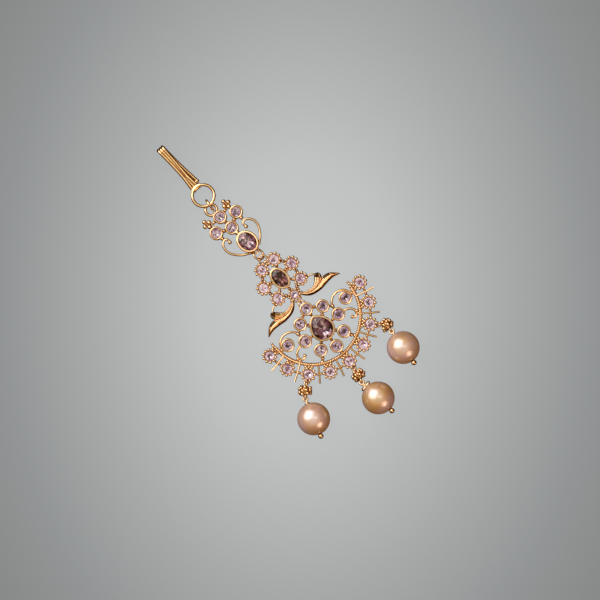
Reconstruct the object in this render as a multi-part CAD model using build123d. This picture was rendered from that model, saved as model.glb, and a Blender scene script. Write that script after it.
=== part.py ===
from build123d import *
from build123d.topology import SkipClean
import os
from math import cos, radians, sin, tan

# A maang tikka lying on its back: hook, ring, top ornament, flower, fan and three pearl drops.
# Lengths are millimetres and angles degrees. Each ornament is laid out in a frame of its own,
# with +Y towards the hook and Z up from its back, and is then turned into the fan's frame.

# ---- settings and stones ----
RIM_Z = 2.0  # top of a bezel's rim
SEAT_Z = 1.05  # floor of a bezel's recess
RIM_WIDTH = 0.40  # wall of a bezel
STONE_GAP = 0.04  # between a stone and its recess
CLAW_STONE_GAP = 0.06
GIRDLE_Z = 1.68  # underside of a stone's girdle
GIRDLE = 0.08  # height of the girdle band
CROWN = 0.34  # girdle to table
PAVILION = 0.58  # girdle to culet
TABLE_SHARE = 0.56  # table width over stone width
ROUND_FACETS = 8
OVAL_FACETS = 12
PEAR_FACETS = 14
PEAR_CROWN = 1.3  # its crown over the others'
TALL_RIM = 0.2  # the pear and the flower's oval stand this much higher
BEZEL_R = 1.46  # outer radius of a round bezel
CLAW_CUP_R = 1.26  # outer radius of a beaded setting's cup
CLAW_RIM_Z = 1.72
CLAW_WALL = 0.2
CLAW_BEADS = 10
CLAW_BEAD_OVERHANG = 0.08  # bead centres outside the cup's wall
CLAW_BEAD_R = 0.33
SMALL_CUP_R = 1.06  # the flower's lowest petal
SMALL_BEAD_R = 0.26

# ---- wires and grains ----
WIRE_Z = 1.0  # centre height of the open work
STRUT_Z = 0.75  # hidden solder struts run under the recesses
STRUT_R = 0.26
SCROLL_R = 0.25
GRAIN_R = 0.38

# ---- fan: origin at the pear's tip ----
PEAR_R = 2.2
PEAR_CENTRE_Y = -3.5
PEAR_TIP_Y = -0.4
PEAR_SIDE_ANGLE = 12  # where the sides leave the round end
FAN_SINGLES = ((0, 2.03), (0, -8.2))  # x, y of the bezels on the middle line
FAN_PAIRS = ((3.1, 0.3), (4.6, -3.15), (3.2, -6.75), (8.0, -1.45))  # x, y, one of each side
FAN_STRUTS = (  # x, y to x, y, one of each side
    (3.1, 0.3, 0.9, -1.8),
    (3.1, 0.3, 0.9, 1.6),
    (3.1, 0.3, 4.7, -1.0),
    (4.6, -3.15, 4.7, -1.0),
    (4.6, -3.15, 2.2, -3.4),
    (3.2, -6.75, 1.4, -5.0),
    (3.2, -6.75, 4.65, -9.25),
    (8.0, -1.45, 10.2, -1.6),
)
ROPE_R = 10.35  # inner arc
ROPE_WIRE_R = 0.3
ROPE_HALF_ANGLE = 87
OUTER_R = 12.44  # circle of the beaded settings
OUTER_COUNT = 9
OUTER_STEP = 21.6
SPIKE_TIP_R = 14.5
SPIKE_WIRE_R = 0.2
SPIKE_BEND = 0.14  # how far a spike's tip swings sideways
LARGE_SCROLL = ((4.75, -1.0), (5.1, -0.2), (6.0, 0.55), (7.3, 0.8), (8.6, 0.4), (9.4, -0.7), (9.9, -2.0))
SMALL_SCROLL = ((5.7, -3.3), (6.8, -3.45), (7.75, -4.15), (7.95, -5.2), (7.4, -5.95), (6.65, -5.75))
FAN_GRAINS = (  # x, y, radius, one of each side
    (4.75, -1.0, 0.42),
    (1.55, 1.45, 0.36),
    (1.9, -1.15, 0.34),
    (3.0, -3.3, 0.34),
    (2.05, -5.45, 0.34),
    (3.95, -8.35, 0.40),
    (4.5, -8.95, 0.42),
    (6.6, -5.5, 0.40),
    (8.2, -5.1, 0.36),
    (8.75, -5.55, 0.38),
    (8.1, -5.75, 0.34),
    (9.65, -1.5, 0.34),
    (10.35, -0.3, 0.34),
    (10.5, 0.4, 0.32),
    (10.45, 0.88, 0.27),
)

# ---- flower: origin at its middle ----
FLOWER_PLACE = (-0.16, 10.43, 2.6)  # x, y, turn in the fan's frame
FLOWER_OVAL = (0, 0.25, 1.45, 2.15)  # x, y and half axes of the stone
PETAL_PAIRS = ((1.75, 4.12), (4.0, 1.0), (3.22, -2.7))
LOW_PETAL_Y = -4.38
FLOWER_GRAINS = (  # x, y, radius, one of each side
    (1.3, 2.75, 0.36),
    (2.9, 2.6, 0.36),
    (2.15, 0.9, 0.34),
    (3.75, -0.85, 0.36),
    (1.85, -1.75, 0.34),
    (1.5, -3.38, 0.37),
    (1.36, -4.05, 0.33),
    (1.3, -5.05, 0.42),
    (4.5, -3.25, 0.34),
)
LEAF_Z = 0.45
LEAF_THICKNESS = 0.6
LEAF_RIB_R = 0.3
LONG_LEAF_LOWER = ((0.8, -5.0), (1.6, -6.05), (3.0, -6.95), (5.2, -7.3), (7.8, -7.05), (10.1, -7.5))
LONG_LEAF_UPPER = ((10.1, -7.5), (8.9, -6.1), (7.4, -5.65), (5.8, -6.1), (3.6, -6.05), (2, -5.3), (0.8, -5))
LONG_LEAF_RIB = ((1.6, -5.75), (3.2, -6.5), (5.4, -6.7), (7.6, -6.35), (9.4, -6.95))
LOBE_OUTER = ((2.4, -6.0), (4.4, -6.5), (6.3, -5.85), (6.95, -4.9), (6.6, -4.1))
LOBE_INNER = ((6.6, -4.1), (5.65, -4.45), (4.75, -5.45), (3.7, -5.85), (2.4, -6.0))
LOBE_RIB = ((3.1, -6.1), (4.6, -5.95), (5.7, -5.1), (6.45, -4.6))
LOBE_CURL = (6.5, -4.5, 0.45)  # x, y, radius of its rolled tip
LOBE_WIRE = ((4.1, -3.2), (5.4, -3.5), (6.4, -4.3))  # from the petal to the lobe's tip
LOBE_WIRE_R = 0.2

# ---- top ornament: origin at its middle ----
TOP_PLACE = (-1.31, 25.77, 8.6)
TOP_STONES = ((0, 3.2), (3.15, 1.4), (-3.1, 1.45), (0, -0.2))
TOP_OVAL = (0.05, -4.7, 1.75, 2.15)
TOP_OVAL_BACK_Z = 1.42  # the oval stands above the link under its end
TOP_OVAL_RIM_Z = 2.5
TOP_OVAL_LIFT = 0.6  # its seat and stone above the others
TOP_SCROLL_Z = 1.5
TOP_LEFT_SCROLL = (  # from its ball to the oval
    (-2.6, -2.0),
    (-2.4, -1.2),
    (-3.1, -0.75),
    (-4.1, -1.3),
    (-4.55, -2.6),
    (-4.3, -3.9),
    (-3.1, -5.7),
    (-1.2, -6.95),
)
TOP_RIGHT_SCROLL = (
    (2.25, -2.3),
    (2.2, -1.4),
    (2.95, -0.95),
    (3.85, -1.5),
    (4.45, -2.7),
    (4.25, -4.0),
    (3.0, -5.8),
    (1.2, -6.95),
)
FLEUR_CENTRES = ((2.95, 4.0), (-3.05, 4.1))
FLEUR_GRAINS = ((0, 0.85), (-0.62, 0.05), (0.62, 0.05), (0, -0.7))
FLEUR_GRAIN_R = 0.48
FLEUR_ROOT_Y = 2.68  # its stem ends in the wall of the bezel below it
TOP_EYELET = (-0.12, 5.65, 1.22, 0.31)  # x, y, ring radius, wire radius

# ---- hook and its ring ----
RING_PLACE = (-1.64, 34.71, 3.6)
RING_R = 2.33
RING_WIRE_R = 0.33
RING_Z = 1.8
HOOK_WIRE_R = 0.37
HOOK_CORE_R = 0.36  # fills the channel between the two rails
HOOK_TOP = 13.57
HOOK_BACK_Z = 0.4  # the hidden leg lies on the floor
HOOK_FRONT_Z = 2.45
HOOK_FOOT_R = 0.42
HOOK_LEFT_RAIL = (  # x, y, z from the ring, over the top and down the hidden leg
    (-0.8, 2.75, 1.95),
    (-0.45, 5.2, 2.15),
    (-0.36, 9.0, 2.3),
    (-0.48, HOOK_TOP, HOOK_FRONT_Z),
    (-0.42, HOOK_TOP, HOOK_BACK_Z),
    (-0.05, 8.0, HOOK_BACK_Z),
    (0.36, 3.35, HOOK_BACK_Z),
)
HOOK_RIGHT_RAIL = (
    (0.5, 2.75, 1.95),
    (0.32, 5.2, 2.15),
    (0.5, 9.0, 2.3),
    (0.66, HOOK_TOP, HOOK_FRONT_Z),
    (0.7, HOOK_TOP, HOOK_BACK_Z),
    (0.83, 8.0, HOOK_BACK_Z),
    (1.22, 3.3, HOOK_BACK_Z),
)
HOOK_CORE = (  # deep between the rails at first, level with them round the bend
    (-0.15, 2.7, 1.75),
    (-0.05, 5.2, 1.8),
    (0.05, 8.4, 1.95),
    (0.08, 11.0, 2.35),
    (0.09, HOOK_TOP, HOOK_FRONT_Z),
    (0.14, HOOK_TOP, HOOK_BACK_Z),
    (0.3, 10.5, HOOK_BACK_Z),
)
SLEEVE_INNER_R = 0.40
SLEEVE_OUTER_R = 0.58
SLEEVE_ANGLE = 52

# ---- links ----
LINK_Z = 1.13
LINK_GAP = 0.06  # round the tilted link, where the top ornament is cut clear of it
TOP_LINK = (-1.87, 32.21, 1.55, 1.3, 0.25)  # x, y, z, ring radius, wire radius
TOP_LINK_TURN = -5
MID_LINK_Y = 7.1  # in the flower's frame
MID_LINK_R = 1.2
MID_LINK_WIRE_R = 0.23
MID_LINK_TILT = 40
MID_EYELET_R = 0.85
MID_EYELET_WIRE_R = 0.19
MID_EYELET_YS = (5.71, 8.49)  # on the flower and on the top ornament
LOW_LINK_Y = 4.22
LOW_LINK_R = 0.55
LOW_LINK_WIRE_R = 0.15
LOOP_WIRE_R = 0.15
LOOP_OFFSET = 0.2  # each loop's cross wire from the link's middle

# ---- pearl drops: name, fan setting, way to the cluster and on to the pin loop, pearl x y, collar ----
DROPS = (
    ("left", -2, -51, -38, (-13.6, -17.0), "washer"),
    ("mid", 0, -6, -14, (-0.17, -22.25), "wrap"),
    ("right", 2, 46, 0, (10.72, -17.35), "plain"),
)
DROP_RISE = 17.4  # the line from a setting up to its pearl's middle
PEARL_R = 3.5
BORE_R = 0.26
PIN_R = 0.2
PIN_BALL_R = 0.58
EYELET_REACH = 1.78  # setting's centre to the middle of its eyelet
CLUSTER_REACH = 1.82  # cluster's centre to the eyelet or to the pin loop
EYE_R = 0.46
EYE_WIRE_R = 0.19
CLUSTER_CORE_R = 1.08
CLUSTER_GRAINS = 26
CLUSTER_GRAIN_R = 0.4
CLUSTER_GRAIN_CENTRE_R = 1.24
GOLDEN_ANGLE = 137.508  # spreads the grains evenly
EYE_CLEAR_ANGLE = 42  # no grain this near an eye


def round_ball(radius):
    """Ball of two half faces, so that none of its faces closes on itself."""
    arc = ThreePointArc((0, radius), (radius, 0), (0, -radius))
    half = revolve(Plane.XZ * make_face([Line((0, -radius), (0, radius)), arc]), Axis.Z, 180)
    return Rot(31, 17, 0) * (half + Rot(0, 0, 180) * half)


def ball(x, y, radius, z=WIRE_Z):
    return Pos(x, y, z) * round_ball(radius)


def fused(solids):
    """All solids soldered into one."""
    return (solids[0] + solids[1:]).solid()


def place(frame):
    x, y, turn = frame
    return Pos(x, y, 0) * Rot(0, 0, turn)


def flat(points, z):
    return [(x, y, z) for x, y in points]


def mirrored(points, side):
    return [(side * x, y) for x, y in points]


def bent_path(points):
    """Straight runs through the points, joined by tangent arcs as large as the runs allow."""
    points = [Vector(*p) for p in points]
    bends = []
    for before, corner, after in zip(points, points[1:], points[2:]):
        run_in = corner - before
        run_out = after - corner
        half_turn = radians(run_in.get_angle(run_out) / 2)
        bends.append(0.45 * min(run_in.length, run_out.length) / tan(half_turn))
    return FilletPolyline(*points, radius=bends) if bends else Line(*points)


def bent_wire(points, radius):
    path = bent_path(points)
    return sweep(Plane(path @ 0, z_dir=path % 0) * Circle(radius), path=path)


def strut(x0, y0, x1, y1, radius=STRUT_R, z=STRUT_Z):
    return bent_wire([(x0, y0, z), (x1, y1, z)], radius)


def ring(centre, radius, wire_radius, normal=(0, 0, 1)):
    return Plane(centre, z_dir=normal) * Torus(radius, wire_radius)


# ---- stones and settings ----
def circle_outline(x, y, radius):
    return Pos(x, y) * Circle(radius).wire()


def oval_outline(x, y, half_x, half_y):
    return Pos(x, y) * Ellipse(half_x, half_y).wire()


def pear_outline(grow=0.0):
    """Pear with its tip towards +Y: a round end and two arcs that meet at the tip."""
    radius = PEAR_R + grow
    tip = Vector(0, PEAR_TIP_Y + 1.2 * grow)
    out = Vector(cos(radians(PEAR_SIDE_ANGLE)), sin(radians(PEAR_SIDE_ANGLE)))
    shoulder = Vector(0, PEAR_CENTRE_Y) + out * radius
    side = TangentArc(shoulder, tip, tangent=Vector(-out.Y, out.X))
    far_shoulder = Vector(-shoulder.X, shoulder.Y)
    round_end = ThreePointArc(far_shoulder, (0, PEAR_CENTRE_Y - radius), shoulder)
    far_side = TangentArc(far_shoulder, tip, tangent=Vector(out.Y, out.X))
    return Wire([far_side, round_end, side])


def cut_stone(outline, centre, facets, lift=0.0, depth=1.0):
    """Table, one crown, girdle and pavilion facet for each side, and a pointed culet."""
    rim = [outline @ (i / facets) for i in range(facets)]
    girdle_z = GIRDLE_Z + lift

    def level(share, z):
        return [Vector(*centre, z) + Vector(p.X - centre[0], p.Y - centre[1], 0) * share for p in rim]

    table = level(TABLE_SHARE, girdle_z + GIRDLE + CROWN * depth)
    top = level(1, girdle_z + GIRDLE)
    bottom = level(1, girdle_z)
    culet = Vector(*centre, girdle_z - PAVILION)
    faces = [Face(Wire.make_polygon(table))]
    for i in range(facets):
        j = (i + 1) % facets
        faces.append(Face(Wire.make_polygon([top[i], top[j], table[j], table[i]])))
        faces.append(Face(Wire.make_polygon([bottom[i], bottom[j], top[j], top[i]])))
        faces.append(Face(Wire.make_polygon([culet, bottom[j], bottom[i]])))
    return Solid(Shell(faces))


def round_cup(radius, wall, rim_z):
    """Turned cup with a rounded rim, from the back up to rim_z."""
    half = wall / 2
    inner = radius - wall
    lip_z = rim_z - half
    profile = Polyline((inner, lip_z), (inner, SEAT_Z), (0, SEAT_Z), (0, 0), (radius, 0), (radius, lip_z))
    lip = ThreePointArc((radius, lip_z), (radius - half, rim_z), (inner, lip_z))
    return revolve(Plane.XZ * make_face([profile, lip]), Axis.Z, 360)


def bezel(x, y):
    return Pos(x, y) * round_cup(BEZEL_R, RIM_WIDTH, RIM_Z)


def shaped_bezel(outer, inner, back_z, rim_z, seat_z):
    """Bezel on any outline, its outer top edge rounded."""
    cup = extrude(Pos(0, 0, back_z) * Face(outer), rim_z - back_z, dir=(0, 0, 1))
    top_edges = cup.edges().group_by(Axis.Z)[-1]
    cup = fillet(top_edges, RIM_WIDTH * 0.45)
    return cup - extrude(Pos(0, 0, seat_z) * Face(inner), rim_z, dir=(0, 0, 1))


def oval_bezel(oval, back_z, rim_z, seat_z):
    x, y, half_x, half_y = oval
    wall = RIM_WIDTH + STONE_GAP
    inner = oval_outline(x, y, half_x + STONE_GAP, half_y + STONE_GAP)
    outer = oval_outline(x, y, half_x + wall, half_y + wall)
    return shaped_bezel(outer, inner, back_z, rim_z, seat_z)


def beaded_cup(radius, bead_radius, beads=CLAW_BEADS):
    """Round cup whose rim is a ring of beads, with none on its -Y side."""
    cup = round_cup(radius, CLAW_WALL, CLAW_RIM_Z)
    reach = radius + CLAW_BEAD_OVERHANG
    grains = []
    for i in range(beads):
        angle = radians(-90 + 360 * (i + 0.5) / beads)
        grains.append(ball(reach * cos(angle), reach * sin(angle), bead_radius, CLAW_RIM_Z))
    return fused([cup] + grains)


# ---- fan ----
def polar(radius, angle):
    """Point of the fan's circles, with the angle counted from -Y towards +X."""
    return radius * sin(radians(angle)), -radius * cos(radians(angle))


def outer_angles():
    middle = OUTER_COUNT // 2
    return [(i - middle) * OUTER_STEP for i in range(OUTER_COUNT)]


def fan_inner_centres():
    pairs = [(side * x, y) for x, y in FAN_PAIRS for side in (-1, 1)]
    return list(FAN_SINGLES) + pairs


def arc_wire(radius, half_angle, wire_radius, z):
    arc = CenterArc((0, 0, z), radius, -90 - half_angle, 2 * half_angle)
    return sweep(Plane(arc @ 0, z_dir=arc % 0) * Circle(wire_radius), path=arc)


def spike(angle):
    """Thin wire across the rim of the fan, bent a little at its free end."""
    swing = SPIKE_BEND * (1 if angle > 0 else -1)
    points = [polar(ROPE_R, angle), polar((ROPE_R + SPIKE_TIP_R) / 2, angle), polar(SPIKE_TIP_R, angle)]
    tip_x, tip_y = points[-1]
    points[-1] = (tip_x + swing * cos(radians(angle)), tip_y + swing * sin(radians(angle)))
    return bent_wire(flat(points, WIRE_Z + 0.25), SPIKE_WIRE_R)


def fan_rim():
    """Rope arc, outer arc, beaded settings, their grains and the spikes between them."""
    outermost = outer_angles()[-1]
    solids = [arc_wire(ROPE_R, ROPE_HALF_ANGLE, ROPE_WIRE_R, WIRE_Z)]
    solids.append(arc_wire(OUTER_R, outermost, SPIKE_WIRE_R, STRUT_Z))
    setting = beaded_cup(CLAW_CUP_R, CLAW_BEAD_R)
    for angle in outer_angles():
        x, y = polar(OUTER_R, angle)
        solids.append(Pos(x, y) * Rot(0, 0, angle) * setting)
        solids.append(strut(*polar(ROPE_R, angle), x, y))
        for spread in (-3.6, 0, 3.6):
            solids.append(ball(*polar(ROPE_R + 0.55, angle + spread), 0.34, WIRE_Z + 0.2))
    for first in outer_angles()[:-1]:
        angle = first + OUTER_STEP / 2
        solids.append(spike(angle))
        for spread in (-1.6, 1.6):
            solids.append(ball(*polar(OUTER_R, angle + spread), 0.3, WIRE_Z))
    return solids


def u_loop(middle_x, root_y, cross_y, half_width):
    """Flat loop whose two posts start at root_y and whose cross wire lies at cross_y."""
    points = [
        (middle_x - half_width, root_y),
        (middle_x - half_width, cross_y),
        (middle_x + half_width, cross_y),
        (middle_x + half_width, root_y),
    ]
    return bent_wire(flat(points, LINK_Z), LOOP_WIRE_R)


def fan_frame():
    outer = pear_outline(RIM_WIDTH + STONE_GAP)
    pear = shaped_bezel(outer, pear_outline(STONE_GAP), 0, RIM_Z + TALL_RIM, SEAT_Z)
    solids = [pear] + [bezel(x, y) for x, y in fan_inner_centres()]
    solids += [strut(0, 2.0, 0, -0.9), strut(0, -8.2, 0, -5.0), strut(0, -8.2, 0, -ROPE_R)]
    solids += [ball(0, 0.5, 0.36), ball(0, -6.4, 0.36), ball(0, -9.85, GRAIN_R)]
    for side in (-1, 1):
        solids += [strut(side * x0, y0, side * x1, y1) for x0, y0, x1, y1 in FAN_STRUTS]
        solids += [ball(side * x, y, r) for x, y, r in FAN_GRAINS]
        solids.append(bent_wire(flat(mirrored(LARGE_SCROLL, side), WIRE_Z), SCROLL_R))
        solids.append(bent_wire(flat(mirrored(SMALL_SCROLL, side), WIRE_Z), SCROLL_R))
    solids += [drop_eyelet(drop) for drop in DROPS]
    solids.append(u_loop(0, 3.0, LOW_LINK_Y - LOOP_OFFSET, 0.75))
    return fused(solids + fan_rim())


# ---- flower ----
def petal_centres():
    pairs = [(side * x, y) for x, y in PETAL_PAIRS for side in (-1, 1)]
    return pairs + [(0, LOW_PETAL_Y)]


def leaf(edge_a, edge_b):
    outline = make_face([bent_path(edge_a), bent_path(edge_b)])
    return extrude(Pos(0, 0, LEAF_Z) * outline, LEAF_THICKNESS, dir=(0, 0, 1))


def wing(side):
    """Long leaf and the rolled lobe above it, each with a raised rib, and the wire that ties the lobe's tip."""
    curl_x, curl_y, curl_r = LOBE_CURL
    top = LEAF_Z + LEAF_THICKNESS
    return [
        leaf(mirrored(LONG_LEAF_LOWER, side), mirrored(LONG_LEAF_UPPER, side)),
        leaf(mirrored(LOBE_OUTER, side), mirrored(LOBE_INNER, side)),
        bent_wire(flat(mirrored(LONG_LEAF_RIB, side), top), LEAF_RIB_R),
        bent_wire(flat(mirrored(LOBE_RIB, side), top), LEAF_RIB_R),
        bent_wire(flat(mirrored(LOBE_WIRE, side), STRUT_Z), LOBE_WIRE_R),
        ball(side * curl_x, curl_y, curl_r, WIRE_Z),
    ]


def flower_frame():
    solids = [oval_bezel(FLOWER_OVAL, 0, RIM_Z + TALL_RIM, SEAT_Z)]
    setting = beaded_cup(CLAW_CUP_R, CLAW_BEAD_R)
    for px, py in petal_centres()[:-1]:
        solids.append(Pos(px, py) * setting)
        solids.append(strut(px, py, px * 0.3, py * 0.3))
    solids.append(Pos(0, LOW_PETAL_Y) * beaded_cup(SMALL_CUP_R, SMALL_BEAD_R))
    solids += [strut(0, LOW_PETAL_Y, 0, 0), ball(0, -2.7, 0.36), ball(0, 4.3, 0.4), ball(0, 4.95, 0.36)]
    for side in (-1, 1):
        ends = [(side * px, py) for px, py in ((0, 4.12),) + PETAL_PAIRS + ((0, LOW_PETAL_Y),)]
        solids += [strut(*a, *b, 0.22) for a, b in zip(ends, ends[1:])]
        solids += [ball(side * gx, gy, r) for gx, gy, r in FLOWER_GRAINS]
        solids += wing(side)
    loop = place(FLOWER_PLACE).inverse() * Pos(0, LOW_LINK_Y + LOOP_OFFSET)
    loop_x, loop_y = loop.position.X, loop.position.Y
    solids.append(u_loop(loop_x, -4.95, loop_y, 0.85))
    solids.append(ring((0, MID_EYELET_YS[0], LINK_Z), MID_EYELET_R, MID_EYELET_WIRE_R))
    return fused(solids)


# ---- top ornament ----
def top_frame():
    solids = [oval_bezel(TOP_OVAL, TOP_OVAL_BACK_Z, TOP_OVAL_RIM_Z, SEAT_Z + TOP_OVAL_LIFT)]
    solids += [bezel(sx, sy) for sx, sy in TOP_STONES]
    solids += [strut(0, 3.2, 0, -0.2), strut(3.15, 1.4, 0, -0.2), strut(-3.1, 1.45, 0, -0.2)]
    solids += [strut(0, 3.2, 3.0, 3.5), strut(0, 3.2, -3.05, 3.5)]
    solids += [ball(0, 1.5, 0.4), ball(1.65, 0.6, 0.45), ball(-1.65, 0.6, 0.45), ball(0, -1.85, 0.55, 1.62)]
    solids += [ball(1.75, 3.35, 0.34, 1.1), ball(-1.75, 3.35, 0.34, 1.1)]
    for route in (TOP_LEFT_SCROLL, TOP_RIGHT_SCROLL):
        solids.append(bent_wire(flat(route, TOP_SCROLL_Z), SCROLL_R))
        solids.append(ball(*route[0], 0.42, TOP_SCROLL_Z))
        solids.append(ball(route[2][0], -0.3, 0.42, TOP_SCROLL_Z - 0.1))
    for cx, cy in FLEUR_CENTRES:
        solids += [ball(cx + gx, cy + gy, FLEUR_GRAIN_R, 1.2) for gx, gy in FLEUR_GRAINS]
        solids.append(strut(cx, cy + 0.7, cx, FLEUR_ROOT_Y, STRUT_R, WIRE_Z))
    solids.append(ring((*TOP_EYELET[:2], LINK_Z), *TOP_EYELET[2:]))
    to_top = place(TOP_PLACE).inverse() * place(FLOWER_PLACE)
    frame = fused(solids) - to_top * mid_link(LINK_GAP)
    eyelet = ring((0, MID_EYELET_YS[1], LINK_Z), MID_EYELET_R, MID_EYELET_WIRE_R)
    post = Pos(0, MID_EYELET_YS[1] + MID_EYELET_R, LINK_Z + 0.2) * Cylinder(0.38, 0.9)
    return fused([frame, to_top * eyelet, to_top * post])


# ---- hook, ring and links ----
def hook():
    """Two rails and the core between them bend over the top together, down to a hidden leg and its foot."""
    rails = [bent_wire(points, HOOK_WIRE_R) for points in (HOOK_LEFT_RAIL, HOOK_RIGHT_RAIL)]
    left_x, left_y, _ = HOOK_LEFT_RAIL[-1]
    right_x, right_y, _ = HOOK_RIGHT_RAIL[-1]
    foot = [strut(left_x, left_y, right_x, right_y, HOOK_WIRE_R, HOOK_BACK_Z)]
    foot += [ball(x, y, HOOK_FOOT_R, HOOK_FOOT_R) for x, y in ((left_x, left_y), (right_x, right_y))]
    core = bent_wire(HOOK_CORE, HOOK_CORE_R)
    half = SLEEVE_ANGLE / 2
    arc = CenterArc((0, 0, RING_Z), RING_R, 90 - half, SLEEVE_ANGLE)
    sleeve = sweep(Plane(arc @ 0, z_dir=arc % 0) * Circle(SLEEVE_OUTER_R), path=arc)
    bore = ring((0, 0, RING_Z), RING_R, SLEEVE_INNER_R)
    return place(RING_PLACE) * (fused(rails + foot + [core, sleeve]) - bore)


def hook_ring():
    return place(RING_PLACE) * ring((0, 0, RING_Z), RING_R, RING_WIRE_R)


def top_link():
    x, y, z, radius, wire_radius = TOP_LINK
    upright = Rot(0, 90, 0) * Torus(radius, wire_radius)
    return Pos(x, y, z) * Rot(0, 0, TOP_LINK_TURN) * upright


def mid_link(gap=0.0):
    """Tilted ring between the flower and the top ornament, in the flower's frame."""
    return Pos(0, MID_LINK_Y, LINK_Z) * Rot(0, MID_LINK_TILT, 0) * Torus(MID_LINK_R, MID_LINK_WIRE_R + gap)


def low_link():
    return Pos(0, LOW_LINK_Y, LINK_Z) * Rot(0, 90, 0) * Torus(LOW_LINK_R, LOW_LINK_WIRE_R)


# ---- pearl drops ----
def rising(angle):
    """Unit step in the drop's way that climbs at DROP_RISE."""
    return Vector(*polar(cos(radians(DROP_RISE)), angle), sin(radians(DROP_RISE)))


def drop_points(drop):
    """Eyelet, cluster, pin loop and pearl centres along one drop."""
    _, index, cluster_way, loop_way, pearl, _ = drop
    setting = Vector(*polar(OUTER_R, index * OUTER_STEP), LINK_Z)
    eyelet = setting + Vector(*polar(EYELET_REACH, cluster_way), 0)
    cluster = eyelet + rising(cluster_way) * CLUSTER_REACH
    loop = cluster + rising(loop_way) * CLUSTER_REACH
    return eyelet, cluster, loop, Vector(*pearl, PEARL_R)


def lying_normal(start, end):
    """Normal of a loop that holds the line from start to end and lies as flat as it can."""
    along = (end - start).normalized()
    side = along.cross(Vector(0, 0, 1)).normalized()
    return side.cross(along)


def upright_normal(start, end):
    return (end - start).normalized().cross(Vector(0, 0, 1)).normalized()


def drop_eyelet(drop):
    eyelet, cluster, _, _ = drop_points(drop)
    return ring(eyelet, EYE_R, EYE_WIRE_R, lying_normal(eyelet, cluster))


def cluster_bead(drop):
    """Core covered in grains, with an upright eye at each end of its thread line."""
    eyelet, cluster, loop, _ = drop_points(drop)
    to_eyelet = (eyelet - cluster).normalized()
    to_loop = (loop - cluster).normalized()
    solids = [Pos(*cluster) * round_ball(CLUSTER_CORE_R)]
    for i in range(CLUSTER_GRAINS):
        height = 1 - (2 * i + 1) / CLUSTER_GRAINS
        angle = radians(i * GOLDEN_ANGLE)
        reach = (1 - height * height) ** 0.5
        spot = Vector(reach * cos(angle), reach * sin(angle), height)
        if max(spot.dot(to_eyelet), spot.dot(to_loop)) < cos(radians(EYE_CLEAR_ANGLE)):
            solids.append(Pos(*(cluster + spot * CLUSTER_GRAIN_CENTRE_R)) * round_ball(CLUSTER_GRAIN_R))
    upper = eyelet - to_eyelet * EYE_R
    lower = loop - to_loop * EYE_R
    solids.append(ring(upper, EYE_R, EYE_WIRE_R, upright_normal(eyelet, cluster)))
    solids.append(ring(lower, EYE_R, EYE_WIRE_R, upright_normal(cluster, loop)))
    return fused(solids)


def pearl_pin(drop):
    """Head pin: loop at the cluster, shank through the pearl and a ball below it."""
    collar_kind = drop[-1]
    _, cluster, loop, pearl = drop_points(drop)
    along = (pearl - loop).normalized()
    end = pearl + along * (PEARL_R + PIN_BALL_R * 0.9)
    shank = bent_wire([tuple(loop + along * EYE_R), tuple(end)], PIN_R)
    eye = ring(loop, EYE_R, EYE_WIRE_R, lying_normal(cluster, loop))
    solids = [eye, shank, Pos(*end) * round_ball(PIN_BALL_R)]
    mouth = pearl - along * PEARL_R
    if collar_kind == "washer":
        solids.append(Plane(mouth - along * 0.14, z_dir=along) * Cylinder(0.55, 0.16))
    if collar_kind == "wrap":
        tilt = (along + Vector(0.12, 0, 0.1)).normalized()
        level = Plane(mouth - along * 0.2, z_dir=tilt)
        solids += [level * Torus(1.15, 0.13), level * Box(0.2, 2.3, 0.14)]
    return fused(solids)


def pearl(drop):
    _, _, loop, centre = drop_points(drop)
    bore = Plane(centre, z_dir=(centre - loop).normalized()) * Cylinder(BORE_R, 3 * PEARL_R)
    return Pos(*centre) * Sphere(PEARL_R) - bore


# ---- nodes ----
def round_stone(x, y, radius):
    return cut_stone(circle_outline(x, y, radius), (x, y), ROUND_FACETS)


def add_stones(nodes):
    stone_r = BEZEL_R - RIM_WIDTH - STONE_GAP
    claw_r = CLAW_CUP_R - CLAW_WALL - CLAW_STONE_GAP
    small_r = SMALL_CUP_R - CLAW_WALL - CLAW_STONE_GAP
    for i, (x, y) in enumerate(TOP_STONES, 1):
        nodes[f"top_stone_{i}"] = place(TOP_PLACE) * round_stone(x, y, stone_r)
    oval = cut_stone(oval_outline(*TOP_OVAL), TOP_OVAL[:2], OVAL_FACETS, TOP_OVAL_LIFT)
    nodes["top_oval_stone"] = place(TOP_PLACE) * oval
    for i, (x, y) in enumerate(petal_centres(), 1):
        radius = small_r if y == LOW_PETAL_Y else claw_r
        nodes[f"petal_stone_{i}"] = place(FLOWER_PLACE) * round_stone(x, y, radius)
    oval = cut_stone(oval_outline(*FLOWER_OVAL), FLOWER_OVAL[:2], OVAL_FACETS, TALL_RIM)
    nodes["flower_oval_stone"] = place(FLOWER_PLACE) * oval
    nodes["pear_stone"] = cut_stone(pear_outline(), (0, PEAR_CENTRE_Y), PEAR_FACETS, TALL_RIM, PEAR_CROWN)
    for i, (x, y) in enumerate(fan_inner_centres(), 1):
        nodes[f"fan_inner_stone_{i}"] = round_stone(x, y, stone_r)
    for i, angle in enumerate(outer_angles(), 1):
        x, y = polar(OUTER_R, angle)
        nodes[f"fan_outer_stone_{i}"] = round_stone(x, y, claw_r)


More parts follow.
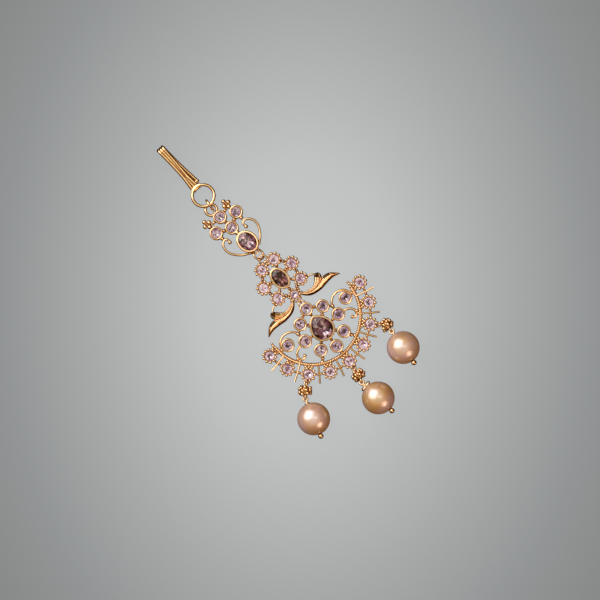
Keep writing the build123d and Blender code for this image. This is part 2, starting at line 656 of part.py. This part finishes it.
def build():
    nodes = {
        "hook": hook(),
        "hook_ring": hook_ring(),
        "jump_ring_top": top_link(),
        "top_frame": place(TOP_PLACE) * top_frame(),
        "jump_ring_mid": place(FLOWER_PLACE) * mid_link(),
        "flower_frame": place(FLOWER_PLACE) * flower_frame(),
        "jump_ring_low": low_link(),
        "fan_frame": fan_frame(),
    }
    add_stones(nodes)
    for drop in DROPS:
        nodes[f"cluster_bead_{drop[0]}"] = cluster_bead(drop)
        nodes[f"pearl_pin_{drop[0]}"] = pearl_pin(drop)
        nodes[f"pearl_{drop[0]}"] = pearl(drop)
    return nodes


def write(nodes):
    """One STEP per node, with the origin under the middle of the whole object."""
    boxes = [shape.bounding_box() for shape in nodes.values()]
    middle_x = (min(b.min.X for b in boxes) + max(b.max.X for b in boxes)) / 2
    middle_y = (min(b.min.Y for b in boxes) + max(b.max.Y for b in boxes)) / 2
    floor_z = min(b.min.Z for b in boxes)
    print("origin in the fan's frame", round(middle_x, 4), round(middle_y, 4), round(floor_z, 4))
    os.makedirs("parts", exist_ok=True)
    for name, shape in nodes.items():
        export_step(Pos(-middle_x, -middle_y, -floor_z) * shape, f"parts/{name}.step")


with SkipClean():  # the half faces of the balls stay apart, so that every solid closes
    write(build())
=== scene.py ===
import math
import random

import bpy
from mathutils import Matrix, Vector


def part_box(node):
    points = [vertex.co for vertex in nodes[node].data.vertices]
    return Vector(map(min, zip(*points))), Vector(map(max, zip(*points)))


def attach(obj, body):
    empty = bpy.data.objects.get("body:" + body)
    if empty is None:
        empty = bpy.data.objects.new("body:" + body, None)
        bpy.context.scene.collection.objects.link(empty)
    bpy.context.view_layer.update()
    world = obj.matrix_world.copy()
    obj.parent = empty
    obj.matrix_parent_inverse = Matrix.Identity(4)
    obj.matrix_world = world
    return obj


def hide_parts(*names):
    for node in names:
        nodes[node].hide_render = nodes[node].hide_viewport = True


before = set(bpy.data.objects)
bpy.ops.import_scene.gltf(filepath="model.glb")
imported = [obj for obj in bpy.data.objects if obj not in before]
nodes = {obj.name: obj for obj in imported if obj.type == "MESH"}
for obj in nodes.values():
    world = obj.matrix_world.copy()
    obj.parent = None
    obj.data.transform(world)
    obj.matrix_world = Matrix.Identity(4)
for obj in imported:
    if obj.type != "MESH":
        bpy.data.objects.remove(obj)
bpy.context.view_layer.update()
MM = 0.001  # lengths below are in millimetres and become metres here

# ---- where each ornament sits: its origin in millimetres and its turn in degrees ----
FAN = (1.44, -10.9958, 0.0)
FLOWER = (FAN[0] - 0.16, FAN[1] + 10.43, 2.6)
TOP = (FAN[0] - 1.31, FAN[1] + 25.77, 8.6)


def spot(place, x, y, z=0.0):
    """A point of an ornament's own frame, in metres in the whole object's frame."""
    turn = math.radians(place[2])
    c, s = math.cos(turn), math.sin(turn)
    return Vector((place[0] + x * c - y * s, place[1] + x * s + y * c, z)) * MM


# ---- camera, floor and light ----
RIGHT = Vector((0.7727, -0.6347, 0.0))  # the picture's right and up, along the floor
UP = Vector((0.6347, 0.7727, 0.0))
CENTRE = Vector((FAN[0] + 0.18, FAN[1] + 4.376, 0.0)) * MM
VIEW_WIDTH = 128.04 * MM
LENS = 100.0
SENSOR = 36.0
LAMP_DISTANCE = 0.45  # metres from the middle of the scene


def aimed(position, target, up):
    """Matrix that looks from a position to a target with the given way up."""
    back = (position - target).normalized()
    side = up.cross(back).normalized()
    turn = Matrix((side, back.cross(side), back)).transposed().to_4x4()
    return Matrix.Translation(position) @ turn


def make_camera():
    data = bpy.data.cameras.new("camera")
    data.lens = LENS
    data.sensor_width = SENSOR
    data.clip_start = 0.01
    data.clip_end = 10.0
    camera = bpy.data.objects.new("camera", data)
    distance = VIEW_WIDTH * LENS / SENSOR + 2 * MM
    camera.matrix_world = aimed(CENTRE + Vector((0, 0, distance)), CENTRE, UP)
    bpy.context.scene.collection.objects.link(camera)
    bpy.context.scene.camera = camera


def softbox(name, tilt, side, size, watts, tint):
    """Square light, tilted from straight above towards a side given as picture right and up."""
    data = bpy.data.lights.new(name, "AREA")
    data.shape = "RECTANGLE"
    data.size, data.size_y = size
    data.energy = watts
    data.color = linear(tint)[:3]
    lamp = bpy.data.objects.new(name, data)
    way = (RIGHT * side[0] + UP * side[1]).normalized()
    lean = math.radians(tilt)
    position = CENTRE + (way * math.sin(lean) + Vector((0, 0, math.cos(lean)))) * LAMP_DISTANCE
    lamp.matrix_world = aimed(position, CENTRE, UP)
    bpy.context.scene.collection.objects.link(lamp)


# ---- material helpers ----
def linear(colour):
    """A hex sRGB colour as linear red, green, blue and alpha."""
    parts = [int(colour[i : i + 2], 16) / 255 for i in (1, 3, 5)]
    return [p / 12.92 if p <= 0.04045 else ((p + 0.055) / 1.055) ** 2.4 for p in parts] + [1.0]


def new_material(name):
    material = bpy.data.materials.new(name)
    material.use_nodes = True
    material.node_tree.nodes.clear()
    return material


def node(tree, kind, settings=None, **links):
    """Adds a node. Settings name properties and sockets, links name sockets and where they come from."""
    made = tree.nodes.new("ShaderNode" + kind)
    for name, value in (settings or {}).items():
        if name in made.inputs:
            made.inputs[name].default_value = value
        else:
            setattr(made, name, value)
    for name, source in links.items():
        socket = made.inputs[int(name[1:])] if name[1:].isdigit() else made.inputs[name.replace("_", " ")]
        tree.links.new(source, socket)
    return made


def ramp(tree, factor, *stops):
    """Colour ramp over hex colours or plain greys."""
    made = node(tree, "ValToRGB", _0=factor)
    elements = made.color_ramp.elements
    elements[0].position, elements[1].position = stops[0][0], stops[-1][0]
    for place, _ in stops[1:-1]:
        elements.new(place)
    for element, (_, colour) in zip(elements, stops):
        element.color = linear(colour) if isinstance(colour, str) else [colour] * 3 + [1.0]
    return made.outputs["Color"]


# ---- floor ----
FLOOR_HALF = 0.6  # metres
FLOOR_PAINTED_FALLOFF = (  # share of 80 mm from the middle, painted brightness of the paper there
    (0.0, "#CCCFCF"),
    (0.27, "#C4C7C7"),
    (0.39, "#BABDBD"),
    (0.56, "#ABAEAE"),
    (0.80, "#96999A"),
    (1.0, "#8B8D8D"),
)


def paper():
    """Pale grey studio paper that mostly glows by itself: a painted pool of light, brightest in the middle
    and falling off to the sides, with a little matt shading.
    """
    material = new_material("studio_paper")
    tree = material.node_tree
    place = node(tree, "TexCoord").outputs["Object"]
    squeezed = node(tree, "Mapping", {"Scale": (12.5, 9.0, 1.0)}, Vector=place)
    reach = node(tree, "VectorMath", {"operation": "LENGTH"}, _0=squeezed.outputs["Vector"])
    grey = ramp(tree, reach.outputs["Value"], *FLOOR_PAINTED_FALLOFF)
    # the glow is painted light; only a twentieth of the paper is lit matt
    glow = node(tree, "Emission", {"Strength": 0.955}, Color=grey)
    matt = node(tree, "BsdfDiffuse", {"Roughness": 0.9}, Color=grey)
    both = node(tree, "MixShader", {"Fac": 0.05}, _1=glow.outputs[0], _2=matt.outputs[0])
    node(tree, "OutputMaterial", Surface=both.outputs[0])
    return material


def make_floor():
    half = FLOOR_HALF
    corners = [(-half, -half, 0), (half, -half, 0), (half, half, 0), (-half, half, 0)]
    mesh = bpy.data.meshes.new("floor")
    mesh.from_pydata(corners, [], [(0, 1, 2, 3)])
    floor = bpy.data.objects.new("floor", mesh)
    floor.matrix_world = Matrix((RIGHT, UP, (0, 0, 1))).transposed().to_4x4()
    floor.location = CENTRE - Vector((0, 0, 0.02 * MM))
    mesh.materials.append(paper())
    bpy.context.scene.collection.objects.link(floor)
    floor.visible_glossy = False  # metal mirrors the dark studio round the table instead


AIR_LEAN = (-0.07, 0.28, 1.0)  # the air is paler towards the window
AIR_TINTS = (  # height of the view above the horizon, 1 straight up
    (0.0, "#381402"),
    (0.25, "#703808"),
    (0.55, "#A07028"),
    (0.82, "#DCCA9C"),
    (1.0, "#B8B29E"),
)


WALL_GREY = "#888A8A"


def make_world():
    """Studio air: pale above and a dark warm room at the sides, which gives metal its brown edges.

    Seen straight on, past the edge of the paper, the room is a plain grey wall.
    """
    world = bpy.data.worlds.new("studio")
    world.use_nodes = True
    tree = world.node_tree
    tree.nodes.clear()
    way = node(tree, "TexCoord").outputs["Generated"]
    level = node(tree, "VectorMath", {"operation": "DOT_PRODUCT"}, _0=way)
    level.inputs[1].default_value = AIR_LEAN
    tint = ramp(tree, level.outputs["Value"], *AIR_TINTS)
    air = node(tree, "Background", {"Strength": 1.0}, Color=tint)
    wall = node(tree, "Background", {"Color": linear(WALL_GREY), "Strength": 1.0})
    seen = node(tree, "LightPath").outputs["Is Camera Ray"]
    both = node(tree, "MixShader", Fac=seen, _1=air.outputs[0], _2=wall.outputs[0])
    node(tree, "OutputWorld", Surface=both.outputs[0])
    bpy.context.scene.world = world


# ---- metals, stones and pearls ----
def gold_plate(name, low_tint, high_tint):
    """Cast brass under warm gold plate: polished where it stands proud, brown between the grains, partly
    patina and partly painted shade set by how occluded the hollows are.
    """
    material = new_material(name)
    tree = material.node_tree
    place = node(tree, "TexCoord").outputs["Object"]
    # the cast surface waves about every 1.4 mm
    clouds = node(tree, "TexNoise", {"Scale": 700.0, "Detail": 3.0}, Vector=place).outputs["Fac"]
    # the hollows darken to brown by occlusion: painted shade, together with the patina they hold
    crevice = node(tree, "AmbientOcclusion", {"samples": 12, "Distance": 0.6 * MM}).outputs["AO"]
    plate = ramp(tree, clouds, (0.35, low_tint), (0.65, high_tint))
    depth = ramp(tree, crevice, (0.25, 0.0), (0.85, 1.0))
    shade_and_patina = node(tree, "Mix", {"data_type": "RGBA", "clamp_factor": True}, _0=depth)
    shade_and_patina.inputs[6].default_value = linear("#984200")
    tree.links.new(plate, shade_and_patina.inputs[7])
    polish = ramp(tree, clouds, (0.3, 0.10), (0.7, 0.20))
    ripple = node(tree, "Bump", {"Strength": 0.12, "Distance": 0.03 * MM}, Height=clouds)
    metal = node(
        tree,
        "BsdfPrincipled",
        {"Metallic": 1.0, "Coat Weight": 0.3, "Coat Roughness": 0.1},
        Base_Color=shade_and_patina.outputs[2],
        Roughness=polish,
        Normal=ripple.outputs["Normal"],
    )
    node(tree, "OutputMaterial", Surface=metal.outputs[0])
    return material


def pearl_coat():
    """Champagne pearl essence over a bead: soft lustre, pinkish clouds and a deeper gold rim."""
    material = new_material("champagne_pearl")
    tree = material.node_tree
    place = node(tree, "TexCoord").outputs["Object"]
    # the clouds are about 4 mm across, half a pearl
    clouds = node(tree, "TexNoise", {"Scale": 260.0, "Detail": 2.0}, Vector=place).outputs["Fac"]
    body = ramp(tree, clouds, (0.38, "#C89E66"), (0.66, "#D4B4B4"))
    soft = node(tree, "Bump", {"Strength": 0.05, "Distance": 0.1 * MM}, Height=clouds)
    pearl = node(
        tree,
        "BsdfPrincipled",
        {
            "Roughness": 0.5,
            "Metallic": 0.15,
            "Coat Weight": 1.0,
            "Coat Roughness": 0.3,
            "Coat IOR": 3.4,  # stands in for the stacked layers of pearl essence
        },
        Base_Color=body,
        Normal=soft.outputs["Normal"],
    )
    node(tree, "OutputMaterial", Surface=pearl.outputs[0])
    return material


def stone_glass(name, colour):
    """Pressed lead glass, clear and tinted lavender, polished on every facet."""
    material = new_material(name)
    tree = material.node_tree
    glass = node(
        tree,
        "BsdfPrincipled",
        {"Base Color": linear(colour), "Roughness": 0.0, "IOR": 1.62, "Transmission Weight": 1.0},
    )
    node(tree, "OutputMaterial", Surface=glass.outputs[0])
    return material


def stone_foil(name, light, middle_tone, dark, glow=0.0):
    """Mirror foil behind the stone: each facet of its belly has its own tone, a painted reflection that
    runs from dark to white sparkle.

    A little glow stands in for the light that facets too small to show throw back.
    """
    material = new_material(name)
    tree = material.node_tree
    tone = node(tree, "Attribute", {"attribute_name": "tone"}).outputs["Fac"]
    # the tones run from dark up to a painted white sparkle
    colour = ramp(tree, tone, (0.0, dark), (0.35, middle_tone), (0.7, light), (0.95, "#FFFFFF"))
    surface = {"Metallic": 0.5, "Roughness": 0.3, "Emission Strength": glow}
    foil = node(tree, "BsdfPrincipled", surface, Base_Color=colour, Emission_Color=colour)
    node(tree, "OutputMaterial", Surface=foil.outputs[0])
    return material


# ---- mesh helpers ----
def add_piece(name, points, faces, materials, face_materials=None, smooth=False, tones=None):
    mesh = bpy.data.meshes.new(name)
    mesh.from_pydata([tuple(p) for p in points], [], faces)
    for material in materials:
        mesh.materials.append(material)
    for polygon in mesh.polygons:
        polygon.use_smooth = smooth
        if face_materials:
            polygon.material_index = face_materials[polygon.index]
    if tones:
        layer = mesh.attributes.new("tone", "FLOAT", "FACE")
        layer.data.foreach_set("value", tones)
    mesh.update()
    piece = bpy.data.objects.new(name, mesh)
    bpy.context.scene.collection.objects.link(piece)
    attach(piece, "root")
    return piece


# ---- cut stones ----
GIRDLE_Z = 1.68
GIRDLE = 0.08
# tones of the belly facets: painted reflections, up to white sparkle
FACET_REFLECTION_TONES = (0.0, 0.05, 0.3, 0.4, 0.6, 0.75, 0.95, 1.0)
RIM_REFLECTION_TONES = (0.3, 0.6, 0.75, 0.95, 1.0)  # painted reflections: a small round stone is bright round a dark middle
HEART_REFLECTION_TONES = (0.0, 0.0, 0.1, 0.3, 1.0)
TABLE_SHARE = 0.60  # of the stone's width
KITE_SHARE = 0.80
KITE_RISE = 0.58  # of the crown's height
LARGE_RINGS = (1.0, 0.66, 0.33)  # rings of facets in the belly, as shares of the width
SMALL_RINGS = (1.0, 0.5)
SMALL_TABLE_CORNERS = 10  # a stone with no more corners than this is a small one
BELLY_CURVE = 0.8


def brilliant(node_name, place, outline, centre, lift, crown, pavilion, glass, foil, seed):
    """Brilliant cut on any outline: table, stars, kites, upper girdle facets, foiled pavilion."""
    rng = random.Random(seed)
    half = len(outline) // 2  # table corners; the outline has two points for each

    def level(index, share, z):
        x, y = outline[index % len(outline)]
        return spot(place, centre[0] + (x - centre[0]) * share, centre[1] + (y - centre[1]) * share, z)

    z = GIRDLE_Z + lift
    points, faces, kinds, tones = [], [], [], []

    def add(point):
        points.append(point)
        return len(points) - 1

    def face(corners, kind, choice=FACET_REFLECTION_TONES):
        faces.append(corners)
        kinds.append(kind)
        tones.append(rng.choice(choice))

    girdle_low = [add(level(i, 1.0, z)) for i in range(2 * half)]
    girdle_top = [add(level(i, 1.0, z + GIRDLE)) for i in range(2 * half)]
    table = [add(level(2 * i, TABLE_SHARE, z + GIRDLE + crown)) for i in range(half)]
    kite_z = z + GIRDLE + crown * KITE_RISE
    kite = [add(level(2 * i + 1, KITE_SHARE, kite_z)) for i in range(half)]
    face(table, 0)
    for i in range(half):
        j = (i + 1) % half
        face([table[j], table[i], kite[i]], 0)
        face([table[i], kite[i - 1], girdle_top[2 * i], kite[i]], 0)
        face([kite[i], girdle_top[2 * i], girdle_top[2 * i + 1]], 0)
        face([kite[i], girdle_top[2 * i + 1], girdle_top[2 * j]], 0)
    for i in range(2 * half):
        j = (i + 1) % (2 * half)
        face([girdle_low[i], girdle_low[j], girdle_top[j], girdle_top[i]], 0)
    small = half <= SMALL_TABLE_CORNERS
    rings = SMALL_RINGS if small else LARGE_RINGS
    belly = [girdle_low[::2]]
    for order, share in enumerate(rings[1:], 1):
        depth = z - pavilion * (1 - share) ** BELLY_CURVE
        belly.append([add(level(2 * i + order % 2, share, depth)) for i in range(half)])
    culet = add(spot(place, centre[0], centre[1], z - pavilion))
    rim_tones = RIM_REFLECTION_TONES if small else FACET_REFLECTION_TONES
    heart_tones = HEART_REFLECTION_TONES if small else FACET_REFLECTION_TONES
    for order in range(len(belly) - 1):
        outer, inner = belly[order], belly[order + 1]
        for i in range(half):
            lead = (i + order % 2) % half
            face([outer[i], inner[lead - 1], inner[lead]], 1, rim_tones)
            face([outer[i], inner[lead], outer[(i + 1) % half]], 1, rim_tones)
    for i in range(half):
        face([culet, belly[-1][(i + 1) % half], belly[-1][i]], 1, heart_tones)
    for i in range(half):
        face([girdle_low[2 * i], girdle_low[2 * i + 1], girdle_low[(2 * i + 2) % (2 * half)]], 1)
    looks = [glass, foil]
    piece = add_piece(node_name + "_cut", points, faces, looks, kinds, False, tones)
    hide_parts(node_name)


def oval_points(x, y, half_x, half_y, count):
    steps = [2 * math.pi * i / count for i in range(count)]
    return [(x + half_x * math.cos(a), y + half_y * math.sin(a)) for a in steps]


PEAR_R = 2.2
PEAR_CENTRE_Y = -3.5
PEAR_TIP_Y = -0.4
PEAR_SIDE_ANGLE = 12


def arc_points(centre, radius, start, sweep, steps):
    """Points along an arc, from a start angle through a sweep."""
    angles = [start + sweep * i / steps for i in range(steps + 1)]
    return [centre + Vector((math.cos(a), math.sin(a))) * radius for a in angles]


def pear_points(count):
    """Pear outline with its tip towards the hook, evenly spaced."""
    side = math.radians(PEAR_SIDE_ANGLE)
    out = Vector((math.cos(side), math.sin(side)))
    shoulder = Vector((0, PEAR_CENTRE_Y)) + out * PEAR_R
    tip = Vector((0, PEAR_TIP_Y))
    chord = tip - shoulder
    radius = chord.length_squared / (2 * abs(chord.dot(out)))
    centre = shoulder - out * radius
    start = math.atan2(*(shoulder - centre).yx)
    end = math.atan2(*(tip - centre).yx)
    right = arc_points(centre, radius, start, end - start, 20)
    low = arc_points(Vector((0, PEAR_CENTRE_Y)), PEAR_R, side, -(math.pi + 2 * side), 40)
    route = right[::-1] + low[1:] + [Vector((-p.x, p.y)) for p in right[1:]]
    lengths = [0.0]
    for a, b in zip(route, route[1:]):
        lengths.append(lengths[-1] + (b - a).length)
    made, k = [], 0
    for i in range(count):
        want = lengths[-1] * i / count
        while lengths[k + 1] < want:
            k += 1
        share = (want - lengths[k]) / (lengths[k + 1] - lengths[k])
        p = route[k].lerp(route[k + 1], share)
        made.append((p.x, p.y))
    return made[::-1]


def middle(node_name):
    """Centre of a round node in the flat and its radius, in millimetres."""
    low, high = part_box(node_name)
    return (low.x + high.x) / 2 / MM, (low.y + high.y) / 2 / MM, (high.x - low.x) / 2 / MM


CROWN = 0.34
PEAR_CROWN = 0.44
PAVILION = 0.58
TOP_OVAL = (0.05, -4.7, 1.75, 2.15)  # x, y and half axes
TOP_OVAL_LIFT = 0.6
FLOWER_OVAL = (0, 0.25, 1.45, 2.15)
TALL_LIFT = 0.2
STRAIGHT = (0.0, 0.0, 0.0)  # the whole object's own frame


def make_stones():
    pale = stone_glass("lavender_glass_pale", "#FAF4FA")
    deep = stone_glass("lavender_glass_deep", "#F0E4F0")
    plum = stone_glass("plum_glass", "#DCB8BC")
    bright = stone_foil("foil_bright", "#F8E8F8", "#C8A8C0", "#684858", 0.22)
    violet = stone_foil("foil_violet", "#F0DCF4", "#A08098", "#301420", 0.16)
    mauve = stone_foil("foil_mauve", "#D896B8", "#8A5268", "#3A141C")
    dark = stone_foil("foil_dark", "#A84C4C", "#5A1C1C", "#2A0606")
    groups = (("top_stone", 4, deep, violet), ("petal_stone", 7, pale, bright))
    groups += (("fan_inner_stone", 10, deep, violet), ("fan_outer_stone", 9, pale, bright))
    for group, count, glass, foil in groups:
        for i in range(1, count + 1):
            name = f"{group}_{i}"
            x, y, radius = middle(name)
            ring = oval_points(x, y, radius, radius, 16)
            brilliant(name, STRAIGHT, ring, (x, y), 0, CROWN, PAVILION, glass, foil, name)
    oval, centre = oval_points(*TOP_OVAL, 24), TOP_OVAL[:2]
    brilliant("top_oval_stone", TOP, oval, centre, TOP_OVAL_LIFT, CROWN, PAVILION, deep, mauve, 5)
    oval, centre = oval_points(*FLOWER_OVAL, 24), FLOWER_OVAL[:2]
    brilliant("flower_oval_stone", FLOWER, oval, centre, TALL_LIFT, CROWN, PAVILION, plum, dark, 8)
    pear, centre = pear_points(28), (0, PEAR_CENTRE_Y)
    brilliant("pear_stone", FAN, pear, centre, TALL_LIFT, PEAR_CROWN, PAVILION, deep, mauve, 11)


# ---- twisted rope along the fan's arc ----
ROPE_ARC_R = 10.35
ROPE_HALF_ANGLE = 87
ROPE_Z = 1.0
STRAND_R = 0.2
STRAND_OFFSET = 0.22
ROPE_PITCH = 0.8  # the real twist is about 0.3 mm, too fine to show


def tube(points, radius, sides):
    """Vertices and faces of a round tube along points, closed at both ends."""
    made, faces = [], []
    up = Vector((0, 0, 1))
    for i, p in enumerate(points):
        along = (points[min(i + 1, len(points) - 1)] - points[max(i - 1, 0)]).normalized()
        side = along.cross(up).normalized() if abs(along.dot(up)) < 0.99 else Vector((1, 0, 0))
        over = side.cross(along)
        for k in range(sides):
            a = 2 * math.pi * k / sides
            made.append(p + (side * math.cos(a) + over * math.sin(a)) * radius)
    for i in range(len(points) - 1):
        for k in range(sides):
            j = (k + 1) % sides
            faces.append((i * sides + k, i * sides + j, (i + 1) * sides + j, (i + 1) * sides + k))
    faces.append(tuple(range(sides))[::-1])
    faces.append(tuple((len(points) - 1) * sides + k for k in range(sides)))
    return made, faces


def make_rope(gold):
    """Two drawn wires twisted together, laid over the plain arc of the solid."""
    length = ROPE_ARC_R * math.radians(2 * ROPE_HALF_ANGLE)
    steps = int(length / ROPE_PITCH * 10)
    points, faces = [], []
    for strand in range(2):
        line = []
        for i in range(steps + 1):
            angle = math.radians(-90 - ROPE_HALF_ANGLE + 2 * ROPE_HALF_ANGLE * i / steps)
            twist = 2 * math.pi * (length * i / steps / ROPE_PITCH + strand / 2)
            reach = ROPE_ARC_R + STRAND_OFFSET * math.cos(twist)
            height = ROPE_Z + STRAND_OFFSET * math.sin(twist)
            line.append(spot(FAN, reach * math.cos(angle), reach * math.sin(angle), height))
        made, sides = tube(line, STRAND_R * MM, 7)
        faces += [tuple(k + len(points) for k in f) for f in sides]
        points += made
    add_piece("fan_rope", points, faces, [gold], smooth=True)


# ---- leaf wings ----
LONG_LEAF = (  # stations from root to tip: lower edge x y, upper edge x y
    (0.9, -4.95, 1.15, -4.6),
    (1.4, -5.95, 1.8, -5.35),
    (2.8, -7.02, 3.3, -5.95),
    (5.0, -7.4, 5.6, -5.95),
    (6.9, -7.2, 7.2, -5.55),
    (8.6, -7.15, 8.75, -5.95),
    (10.2, -7.62, 10.25, -7.42),
)
LOBE = (
    (1.45, -5.75, 1.35, -5.2),
    (2.7, -6.3, 2.75, -5.6),
    (4.1, -6.6, 3.9, -5.75),
    (5.5, -6.35, 4.75, -5.35),
    (6.7, -5.6, 5.5, -4.6),
    (7.05, -4.85, 5.9, -4.15),
    (6.85, -4.2, 6.4, -4.0),
)
LEAF_FOOT_Z = 0.42
LEAF_EDGE_Z = 1.12
LEAF_FULL_WIDTH = 1.1  # a narrower leaf is crowned less
LEAF_STEPS = 7  # rows from one station to the next
LEAF_ACROSS = 22
LONG_GROOVES = ((0.70, 0.06, 0.26), (0.87, 0.045, 0.16))  # place across, width, depth
LOBE_GROOVES = ((0.3, 0.05, 0.16), (0.56, 0.05, 0.2), (0.8, 0.05, 0.16))
LONG_PAINTED_DARK = (0.62, 0.78, 0.6)  # painted dark reflection on the leaf: from, to along the leaf, and from where across it
LOBE_PAINTED_DARK = (0.66, 1.0, 0.35)


def between(p, q, r, n, t):
    """Value on a smooth curve from q to r, with p before them and n after them."""
    bend = (2 * p - 5 * q + 4 * r - n) * t * t
    twist = (3 * q - p - 3 * r + n) * t ** 3
    return 0.5 * (2 * q + (r - p) * t + bend + twist)


def smooth_row(rows, steps):
    """Points on smooth curves through rows of numbers, with steps between each two."""
    made = []
    for i in range(len(rows) - 1):
        before, a, b, after = rows[max(i - 1, 0)], rows[i], rows[i + 1], rows[min(i + 2, len(rows) - 1)]
        for k in range(steps):
            t = k / steps
            made.append([between(p, q, r, n, t) for p, q, r, n in zip(before, a, b, after)])
    made.append(list(rows[-1]))
    return made


def make_leaf(name, stations, side, lift, crown, grooves, metals, dark):
    """Cast leaf: crowned across, engraved, thin at its edges and flat behind.

    It carries a painted dark reflection between two shares of its length, past a share of its width.
    """
    rows = smooth_row(stations, LEAF_STEPS)
    across = LEAF_ACROSS
    points, faces, kinds = [], [], []
    for lx, ly, ux, uy in rows:
        swell = min(1.0, math.hypot(ux - lx, uy - ly) / LEAF_FULL_WIDTH)
        for k in range(across + 1):
            u = k / across
            z = LEAF_EDGE_Z + lift + crown * swell * math.sin(math.pi * u)
            cuts = [depth * math.exp(-(((u - place) / width) ** 2)) for place, width, depth in grooves]
            z -= swell * sum(cuts)
            points.append(spot(FLOWER, side * (lx + (ux - lx) * u), ly + (uy - ly) * u, z))
        for u in (1.02, -0.02):
            points.append(spot(FLOWER, side * (lx + (ux - lx) * u), ly + (uy - ly) * u, LEAF_FOOT_Z))
    ring = across + 3
    for i in range(len(rows) - 1):
        for k in range(ring):
            j = (k + 1) % ring
            quad = (i * ring + k, i * ring + j, (i + 1) * ring + j, (i + 1) * ring + k)
            faces.append(quad if side < 0 else quad[::-1])
            # faces inside the painted dark reflection take the dark olive plate
            kinds.append(int(dark[0] <= i / len(rows) <= dark[1] and k > across * dark[2]))
    first, last = tuple(range(ring)), tuple((len(rows) - 1) * ring + k for k in range(ring))
    faces += [first[::-1], last] if side < 0 else [first, last[::-1]]
    add_piece(name, points, faces, metals, kinds + [0, 0], smooth=True)


def make_leaves(metals):
    for side, word in ((-1, "left"), (1, "right")):
        make_leaf(f"long_leaf_{word}", LONG_LEAF, side, 0.0, 0.85, LONG_GROOVES, metals, LONG_PAINTED_DARK)
        make_leaf(f"leaf_lobe_{word}", LOBE, side, 0.12, 0.75, LOBE_GROOVES, metals, LOBE_PAINTED_DARK)


# ---- pearls ----
PIN_LOOPS = {  # middle of each pin's loop
    "left": (-10.878, -23.6455, 2.219),
    "mid": (0.652, -28.6185, 2.219),
    "right": (12.485, -24.2435, 2.219),
}
PEARL_R = 3.5
MOUTH_R = 0.27
MOUTH_WEAR = 0.03  # share of the radius worn away at a mouth
WEAR_ANGLE = 0.05
UNEVEN = 0.004


def make_pearl(word, coat):
    """Drilled round pearl, a little uneven, its two mouths worn where the pin goes through."""
    low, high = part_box(f"pearl_{word}")
    centre = (low + high) / 2
    radius = PEARL_R * MM
    loop = Vector(PIN_LOOPS[word]) * MM
    along = (centre - loop).normalized()
    side = along.cross(Vector((0, 0, 1))).normalized()
    over = side.cross(along)
    rings, sides = 56, 72
    mouth = MOUTH_R / PEARL_R
    points, faces = [], []
    for i in range(rings + 1):
        polar = mouth + (math.pi - 2 * mouth) * i / rings
        edge = min(polar, math.pi - polar)
        dip = MOUTH_WEAR * math.exp(-((edge - mouth) / WEAR_ANGLE) ** 2)
        for k in range(sides):
            a = 2 * math.pi * k / sides
            wave = UNEVEN * math.sin(3 * a + 2 * polar) * math.sin(polar) * math.sin(2 * polar)
            reach = radius * (1 - dip + min(wave, 0.0))
            ray = along * -math.cos(polar) + (side * math.cos(a) + over * math.sin(a)) * math.sin(polar)
            points.append(centre + ray * reach)
    for i in range(rings):
        for k in range(sides):
            j = (k + 1) % sides
            faces.append((i * sides + k, i * sides + j, (i + 1) * sides + j, (i + 1) * sides + k))
    last = rings * sides  # the drilled wall joins the two mouths
    for k in range(sides):
        j = (k + 1) % sides
        faces.append((last + k, last + j, j, k))
    piece = add_piece(f"pearl_{word}_drilled", points, faces, [coat], smooth=True)
    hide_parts(f"pearl_{word}")


# ---- dressing the solids ----
def dress_nodes(gold, pearl):
    """Gives the solids their plate, and the three pearls their lustre."""
    for name, obj in nodes.items():
        finish = pearl if name in ("pearl_left", "pearl_mid", "pearl_right") else gold
        obj.data.materials.clear()
        obj.data.materials.append(finish)


make_camera()
make_world()
make_floor()
softbox("key_window", 50, (-0.80, 0.60), (0.50, 0.50), 2.15, "#FCFAFF")
softbox("overhead", 10, (0.3, 0.6), (0.26, 0.10), 0.14, "#FFF6EC")
softbox("warm_return", 60, (0.7, -0.7), (0.20, 0.20), 0.5, "#FFD2B4")
plate = gold_plate("gold_plated_brass", "#E6C08E", "#EECEA0")
# dark olive plate: a painted dark reflection on the leaf tips
dark_reflection_plate = gold_plate("painted_dark_reflection_plate", "#3E3016", "#5A4622")
lustre = pearl_coat()
dress_nodes(plate, lustre)
make_stones()
make_rope(plate)
make_leaves([plate, dark_reflection_plate])
for drop in PIN_LOOPS:
    make_pearl(drop, lustre)
bpy.context.scene.view_settings.view_transform = "Standard"
